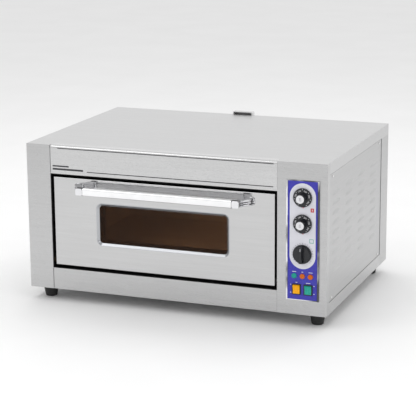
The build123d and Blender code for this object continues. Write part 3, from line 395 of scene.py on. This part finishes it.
def paint_door():
    """Polished door sheet, amber window, chrome bar and the hinge's parts."""
    door = brushed("door_brushed", (0.58, 0.58, 0.582), 0.10, GRAIN_X, relief=0.00001)
    repaint(door, "door_skin", "door_liner")
    repaint(tinted_glass("amber_glass", (0.030, 0.013, 0.006), 0.55), "door_glass_outer")
    repaint(tinted_glass("inner_glass", (0.05, 0.025, 0.01), 0.18), "door_glass_inner")
    repaint(brushed("bezel_steel", (0.47, 0.48, 0.50), 0.22, GRAIN_X), "window_bezel")
    repaint(chromed("handle_chrome", (0.93, 0.93, 0.94)), "handle_bar")
    # painted shade: the brass bushings are coloured almost black so they read as the shaded gap
    repaint(brushed("bushing_brass", (0.16, 0.12, 0.06), 0.4, GRAIN_X), "hinge_bushings")
    repaint(brushed("spring_steel", (0.10, 0.10, 0.10), 0.4, GRAIN_X), "hinge_springs", "hinge_pins")


def paint_controls():
    """Control plate, overlay, dials, lamps and switches, the devices behind them, and the gland."""
    repaint(panel_rim("panel_chrome"), "control_plate")
    overlay = plastic("overlay_blue", (0.040, 0.036, 0.44), 0.28, 1500, 0.000005, variation=0.08)
    repaint(overlay, "panel_overlay")
    dial = plastic("dial_silver", (0.78, 0.78, 0.84), 0.32, 1500, 0.000005, variation=0.03)
    repaint(dial, "dial_plate")
    knob_black = plastic("knob_black", (0.011, 0.012, 0.016), 0.28)
    repaint(knob_black, "knob_upper_heat", "knob_lower_heat", "knob_timer")
    black = plastic("switch_black", (0.012, 0.012, 0.013), 0.35)
    repaint(black, "switch_housings", "cable_gland")
    repaint(lit_lens("lens_green", (0.012, 0.30, 0.25), 0.14), "pilot_lamp_green")
    repaint(lit_lens("lens_orange", (0.58, 0.12, 0.002), 0.14), "pilot_lamps_orange")
    repaint(lit_lens("rocker_amber", (0.82, 0.36, 0.002), 0.22), "rocker_lamp")
    repaint(lit_lens("rocker_green", (0.018, 0.34, 0.27), 0.16), "rocker_power")
    repaint(plastic("control_case", (0.75, 0.72, 0.65), 0.5), "thermostat_upper", "thermostat_lower")
    repaint(plastic("timer_case", (0.62, 0.62, 0.60), 0.4), "timer_mechanism")
    spindle = brushed("spindle_steel", (0.62, 0.62, 0.62), 0.3, GRAIN_Y)
    repaint(spindle, "shaft_upper_heat", "shaft_lower_heat")
    repaint(brushed("timer_spindle", (0.62, 0.62, 0.62), 0.3, GRAIN_Y), "shaft_timer")


# ---------------------------------------------------------------- piece kit


PRINT = 0.15 * MM  # how far a printed mark stands off its sheet


def piece(name, mesh, material, body):
    """Links a finished mesh as a piece that rides on a body."""
    mesh.name = name
    made = bpy.data.objects.new(name, mesh)
    bpy.context.collection.objects.link(made)
    made.data.materials.append(material)
    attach(made, body)
    return made


def built(name, builder, material, body="cabinet"):
    """Turns a bmesh into a piece."""
    mesh = bpy.data.meshes.new(name)
    builder.to_mesh(mesh)
    builder.free()
    return piece(name, mesh, material, body)


def add_block(builder, place, size):
    """Adds a cuboid of a size to a bmesh, centred on a placing matrix."""
    bmesh.ops.create_cube(builder, size=1, matrix=place @ Matrix.Diagonal((*size, 1)))


def printed(name, bars, y, material, body="cabinet"):
    """Thin bars on a face at y, seen from the front, each given as (x, z, width, height)."""
    builder = bmesh.new()
    for x, z, width, height in bars:
        add_block(builder, Matrix.Translation((x, y - PRINT / 2, z)), (width, PRINT, height))
    built(name, builder, material, body)


def ring_of_marks(name, centre, y, radius, angles, size, material, body="cabinet"):
    """Radial bars round a centre on a face at y; angles are clockwise from the top, in degrees."""
    width, height = size
    builder = bmesh.new()
    for angle in angles:
        hub = Matrix.Translation((centre.x, y, centre.z)) @ Matrix.Rotation(math.radians(angle), 4, "Y")
        add_block(builder, hub @ Matrix.Translation((0, -PRINT / 2, radius)), (width, PRINT, height))
    built(name, builder, material, body)


def disc(name, centre, radius, thickness, crown, material, body):
    """A crowned disc that faces the front, spun from its section."""
    rim = thickness * 0.6
    section = [(0, 0), (radius, 0), (radius, -rim), (radius - crown, -thickness), (0, -thickness)]
    builder = bmesh.new()
    points = [builder.verts.new((centre.x + r, centre.y + y, centre.z)) for r, y in section]
    edges = [builder.edges.new(pair) for pair in zip(points, points[1:])]
    bmesh.ops.spin(
        builder,
        geom=points + edges,
        cent=centre,
        axis=(0, 1, 0),
        angle=math.tau,
        steps=48,
        use_duplicate=False,
    )
    bmesh.ops.remove_doubles(builder, verts=builder.verts, dist=1e-6)
    bmesh.ops.recalc_face_normals(builder, faces=builder.faces)
    built(name, builder, material, body)


def number(name, text, place, size, material, body, turn):
    """A printed number seen from the front, as a flat mesh, turned about its own centre."""
    curve = bpy.data.curves.new(name, "FONT")
    curve.body = text
    curve.size = size
    curve.align_x = "CENTER"
    curve.align_y = "CENTER"
    curve.extrude = PRINT / 2
    curve.resolution_u = 3
    lettering = bpy.data.objects.new(name, curve)
    bpy.context.collection.objects.link(lettering)
    bpy.context.view_layer.update()
    mesh = bpy.data.meshes.new_from_object(lettering)
    bpy.data.objects.remove(lettering)
    upright = Matrix.Rotation(math.radians(90), 4, "X")
    x, y, z = place
    mesh.transform(Matrix.Translation((x, y - PRINT, z)) @ Matrix.Rotation(turn, 4, "Y") @ upright)
    piece(name, mesh, material, body)


# ---------------------------------------------------------------- handle castings


CASTING_WIDTH = 23 * MM  # at the bar
CASTING_TAPER = 3 * MM  # how much narrower it is at the door
CASTING_STEPS = 14  # sections from the bar to the door
CASTING_SINK = 3 * MM  # how far it stops short of the door's face, inside its boss
CASTING_ROUNDING = 0.8 * MM
WAIST = 0.12  # share of its height that a casting loses half-way
NOSE = 0.94  # size of its first section, which rounds the front end
FLUTE_DEPTH = 1.6 * MM
FLUTE_WALLS = (2, 5)  # sides of the section that form the walls of its two flutes, coloured dark as painted shade
SPLAY_START = 0.25  # share of the way at which a casting starts to lean outwards
BOSS_RADIUS = 12 * MM  # against the door
BOSS_TIP_RADIUS = 10.5 * MM
BOSS_LENGTH = 4 * MM
JOINT_GAP = 0.7 * MM  # the line of painted shade between the bar and a casting


def fluted_section(width, height, flute, side):
    """Outline of a casting across its run: rounded corners, and two flutes down its outer face."""
    half_w, half_h = width / 2, height / 2
    bevel = min(half_w, half_h) * 0.28
    outer = [
        (half_w - bevel, -half_h),
        (half_w, -half_h + bevel),
        (half_w, -half_h * 0.45),
        (half_w - flute, -half_h * 0.3),
        (half_w, -half_h * 0.12),
        (half_w, half_h * 0.12),
        (half_w - flute, half_h * 0.3),
        (half_w, half_h * 0.45),
        (half_w, half_h - bevel),
        (half_w - bevel, half_h),
    ]
    inner = [
        (-half_w + bevel, half_h),
        (-half_w, half_h - bevel),
        (-half_w, -half_h + bevel),
        (-half_w + bevel, -half_h),
    ]
    return [(side * x, z) for x, z in outer + inner]


def casting_rings(builder, side, bar_end, boss_x, bar_low, bar_high):
    """Sections of one casting from the bar to the door, side being -1 at the left and 1 at the right."""
    height = bar_high.z - bar_low.z
    level = (bar_low.z + bar_high.z) / 2
    start_x = bar_end + side * CASTING_WIDTH / 2
    run = front_y("door_skin") - CASTING_SINK - bar_low.y
    rings = []
    for step in range(CASTING_STEPS + 1):
        along = step / CASTING_STEPS
        lean = max(0.0, (along - SPLAY_START) / (1 - SPLAY_START))
        x = start_x + (boss_x - start_x) * (lean * lean * (3 - 2 * lean) * 0.4 + lean * 0.6)
        y = bar_low.y + run * along
        nose = NOSE if step == 0 else 1.0
        swell = 1 - WAIST * math.sin(math.pi * along)
        flute = FLUTE_DEPTH * math.sin(math.pi * min(1.0, along * 1.1 + 0.02))
        width = (CASTING_WIDTH - CASTING_TAPER * along) * nose
        outline = fluted_section(width, height * swell * nose, flute, side)
        rings.append([builder.verts.new((x + u, y, level + w)) for u, w in outline])
    return rings


def skin_rings(builder, rings):
    """Walls between a casting's sections, flute walls in the second material as painted shade, and its
    two ends.
    """
    count = len(rings[0])
    for ring, following in zip(rings, rings[1:]):
        for index in range(count):
            after = (index + 1) % count
            wall = builder.faces.new((ring[index], ring[after], following[after], following[index]))
            wall.material_index = 1 if index in FLUTE_WALLS else 0
    builder.faces.new(rings[0])
    builder.faces.new(rings[-1])


def handle_castings(chrome, shadow):
    """Chromed end castings, fluted on their outer faces with painted shade on the flute walls, in place
    of the plain CAD arms.
    """
    arms_low, arms_high = corners("handle_arms")
    bar_low, bar_high = corners("handle_bar")
    level = (bar_low.z + bar_high.z) / 2
    facing = Matrix.Rotation(math.radians(90), 4, "X")
    builder = bmesh.new()
    for side, bar_end, arm_end in ((-1, bar_low.x, arms_low.x), (1, bar_high.x, arms_high.x)):
        boss_x = arm_end - side * BOSS_RADIUS
        skin_rings(builder, casting_rings(builder, side, bar_end, boss_x, bar_low, bar_high))
        boss = Matrix.Translation((boss_x, front_y("door_skin") - BOSS_LENGTH / 2, level))
        bmesh.ops.create_cone(
            builder,
            cap_ends=True,
            segments=40,
            radius1=BOSS_RADIUS,
            radius2=BOSS_TIP_RADIUS,
            depth=BOSS_LENGTH,
            matrix=boss @ facing,
        )
    bmesh.ops.recalc_face_normals(builder, faces=builder.faces)
    castings = built("handle_castings", builder, chrome, "door")
    castings.data.materials.append(shadow)
    rounding = castings.modifiers.new("rounding", "BEVEL")
    rounding.width = CASTING_ROUNDING
    rounding.segments = 2
    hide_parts("handle_arms")


def handle_joints(shadow):
    """A line of painted shade where the bar enters each casting, and a dark inset of painted shade on the
    casting's top.
    """
    low, high = corners("handle_bar")
    level = (low.z + high.z) / 2
    height = high.z - low.z
    middle_y = (low.y + high.y) / 2
    builder = bmesh.new()
    for side, bar_end in ((-1, low.x), (1, high.x)):
        line_size = (JOINT_GAP, high.y - low.y - 1.4 * MM, height + 0.3 * MM)
        add_block(builder, Matrix.Translation((bar_end, middle_y, level)), line_size)
        top = Matrix.Translation((bar_end + side * 10 * MM, middle_y, level + height / 2))
        add_block(builder, top, (17 * MM, 11 * MM, 0.5 * MM))
    built("handle_joints", builder, shadow, "door")


# ---------------------------------------------------------------- marks and painted shadow lines on the casing


def fascia_prints(ink_and_painted_shade):
    """Two long pinstripes, and two plain bars where the oven's wording would be."""
    low, high = corners("upper_fascia")
    stripe = 2.4 * MM
    # x and z of a bar's centre are taken from the fascia's top left corner
    stripes = [
        (355.5 * MM, -7.8 * MM - stripe / 2, 664 * MM, stripe),
        (402 * MM, -74 * MM, 569 * MM, stripe),
    ]
    wording = [
        (33 * MM, -62 * MM, 52 * MM, 4.2 * MM),
        (56 * MM, -71 * MM, 98 * MM, 5.4 * MM),
    ]
    for name, bars in (("fascia_stripes", stripes), ("fascia_bars", wording)):
        printed(name, [(low.x + x, high.z + z, w, h) for x, z, w, h in bars], low.y, ink_and_painted_shade)


def fascia_seams(shadow):
    """Painted shadow lines where the fascias butt against the posts."""
    line = 1.1 * MM
    end_gap = 2 * MM
    lines = []
    for node in ("upper_fascia", "lower_fascia"):
        low, high = corners(node)
        for x in (low.x, high.x):
            lines.append((x, (low.z + high.z) / 2, line, high.z - low.z - 2 * end_gap))
    printed("fascia_seams", lines, front_y("upper_fascia"), shadow)


def side_seams(shadow):
    """Painted shadow lines round the side panels: below the top's flange, above the base, beside the
    posts.
    """
    line = 1.2 * MM
    recess = 1.1 * MM  # from the posts' outer face in to the panel
    thickness = 0.2 * MM
    top_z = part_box("upper_fascia")[1][2] - 33.8 * MM
    foot_z = CASING_CORNER.z + 35.6 * MM
    front = CASING_CORNER.y + 24.6 * MM
    back = rear_y("back_panel") - 78.6 * MM
    middle_y, length = (front + back) / 2, back - front
    middle_z, height = (top_z + foot_z) / 2, top_z - foot_z
    lines = [
        (middle_y, top_z, length, line),
        (middle_y, foot_z, length, line * 0.7),
        (front, middle_z, line * 0.8, height),
        (back, middle_z, line * 0.8, height),
    ]
    right_x, left_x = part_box("right_upright")[1][0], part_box("left_upright")[0][0]
    for name, x in (("right", right_x - recess), ("left", left_x + recess)):
        builder = bmesh.new()
        for y, z, run, rise in lines:
            add_block(builder, Matrix.Translation((x, y, z)), (thickness, run, rise))
        built(f"{name}_side_seams", builder, shadow)


# ---------------------------------------------------------------- marks on the controls


SKIRT = 4 * MM  # thickness of a dial's skirt, which carries its marks
BADGE_X = 26 * MM  # right of the dial plate's middle


def heat_dial(node, body, white, grey):
    """White cap with a plain heat sign, and the numbers and dots on a thermostat dial's skirt."""
    centre = middle(node)
    skirt_y = rear_y(node) - SKIRT
    crown_y = front_y(node)
    cap_thickness = 0.5 * MM
    cap_centre = Vector((centre.x, crown_y, centre.z))
    disc(f"{node}_cap", cap_centre, 11.6 * MM, cap_thickness, 0.4 * MM, white, body)
    sign = [(centre.x, centre.z + step * MM, 6 * MM, 0.9 * MM) for step in (-3.2, 0, 3.2)]
    printed(f"{node}_sign", sign, crown_y - cap_thickness, grey, body)
    number_radius, first, apart = 20 * MM, -125, 50
    for index, value in enumerate((50, 100, 150, 200, 250, 300)):
        angle = math.radians(first + apart * index)
        x = centre.x + number_radius * math.sin(angle)
        z = centre.z + number_radius * math.cos(angle)
        number(f"{node}_{value}", str(value), (x, skirt_y, z), 6.2 * MM, white, body, angle)
    dots = [first - apart / 2 + apart * index for index in range(7)]
    dot = 1.8 * MM
    ring_of_marks(f"{node}_dots", centre, skirt_y, 23.5 * MM, dots, (dot, dot), white, body)


def dial_plate_prints(white, grey, red, green):
    """Red index marks, the two badges at the right, and the timer's scale."""
    plate_x = middle("dial_plate").x
    face = front_y("dial_plate")
    upper, lower, timer = [middle(f"knob_{name}") for name in ("upper_heat", "lower_heat", "timer")]
    marks = [(plate_x + 1 * MM, knob.z - 28.6 * MM, 3 * MM, 2.6 * MM) for knob in (upper, lower)]
    printed("index_marks", marks, face, red)
    heat_x, heat_z = plate_x + BADGE_X + 1.5 * MM, (upper.z + lower.z) / 2 + 3 * MM
    printed("heat_badge", [(heat_x, heat_z, 9.5 * MM, 11 * MM)], face, red)
    printed("heat_badge_sign", [(heat_x, heat_z, 2 * MM, 6 * MM)], face - PRINT, white)
    badge_x, badge_z = plate_x + BADGE_X, (lower.z + timer.z) / 2 - 4.5 * MM
    half = 5 * MM
    outline = [(badge_x, badge_z + rise, 2.4 * half, 1.4 * MM) for rise in (half, -half)]
    outline += [(badge_x + shift, badge_z, 1.2 * MM, 2 * half) for shift in (-1.1 * half, 1.1 * half)]
    printed("timer_badge", outline, face, green)
    ticks = [-140 + 14 * index for index in range(21)]
    ring_of_marks("timer_scale", timer, face, 30.5 * MM, ticks, (0.7 * MM, 3.2 * MM), grey)


def overlay_prints(white):
    """Plain bars where the overlay is lettered: over the lamps and round the two rocker switches."""
    face = front_y("panel_overlay")
    text_height = 1.6 * MM
    low, high = corners("pilot_lamps_orange")
    radius = (high.z - low.z) / 2
    lamps = (middle("pilot_lamp_green").x, low.x + radius, high.x - radius)
    label_z = high.z + 4.5 * MM
    labels = [(x, label_z, width * MM, text_height) for x, width in zip(lamps, (11, 5, 12))]
    printed("lamp_labels", labels, face, white)
    low, high = corners("switch_housings")
    above = high.z + 4 * MM
    labels = [
        (middle("rocker_lamp").x, above, 5 * MM, text_height),
        (middle("rocker_power").x, above, 13 * MM, text_height),
    ]
    for z in (high.z - 3 * MM, low.z + 5 * MM):
        labels += [(x, z, 3 * MM, 1.8 * MM) for x in (low.x - 4 * MM, high.x + 4 * MM)]
    printed("switch_labels", labels, face, white)


def timer_marks(white):
    """White pointer on the timer's grip and the tick at its foot."""
    centre = middle("knob_timer")
    tick = (centre.x, centre.z - 25.5 * MM, 1.6 * MM, 2.4 * MM)
    printed("timer_tick", [tick], rear_y("knob_timer") - SKIRT, white, "timer_control")
    pointer = (centre.x, centre.z + 16 * MM, 1.2 * MM, 8 * MM)
    printed("timer_pointer", [pointer], front_y("knob_timer"), white, "timer_control")


def add_pieces():
    """Everything that only the picture has: castings, painted shadow lines, caps and print."""
    # dark ink for the fascia print, also used as painted shade for the shadow lines, joints and flute
    # walls
    ink_and_painted_shade = plastic("dark_ink_and_painted_shade", (0.035, 0.035, 0.04), 0.4)
    white = plastic("ink_white", (0.82, 0.82, 0.84), 0.35, variation=0.03)
    grey = plastic("ink_grey", (0.16, 0.16, 0.20), 0.4)
    red = plastic("ink_red", (0.62, 0.02, 0.03), 0.35)
    green = plastic("ink_green", (0.03, 0.36, 0.26), 0.35)
    handle_castings(chromed("casting_chrome", (0.80, 0.80, 0.82), 0.05), ink_and_painted_shade)
    handle_joints(ink_and_painted_shade)
    fascia_prints(ink_and_painted_shade)
    fascia_seams(ink_and_painted_shade)
    side_seams(ink_and_painted_shade)
    heat_dial("knob_upper_heat", "upper_heat_control", white, grey)
    heat_dial("knob_lower_heat", "lower_heat_control", white, grey)
    dial_plate_prints(white, grey, red, green)
    overlay_prints(white)
    timer_marks(white)


# ---------------------------------------------------------------- floor


FLOOR_HALF = 12


def add_floor():
    """A wide pale floor."""
    builder = bmesh.new()
    bmesh.ops.create_grid(builder, x_segments=8, y_segments=8, size=FLOOR_HALF)
    mesh = bpy.data.meshes.new("floor")
    builder.to_mesh(mesh)
    builder.free()
    shader = Shader("floor_paper", (0.93, 0.93, 0.93), 0.9)
    shader.vary_colour(shader.noise(3, detail=2.0), (0.92, 0.92, 0.92), (0.94, 0.94, 0.94))
    floor = bpy.data.objects.new("floor", mesh)
    bpy.context.collection.objects.link(floor)
    floor.data.materials.append(shader.material)


# ---------------------------------------------------------------- scene


add_camera()
add_world()
add_lights()
add_floor()
paint_casing()
paint_chamber()
paint_door()
paint_controls()
add_pieces()
bpy.context.scene.view_settings.view_transform = "Standard"
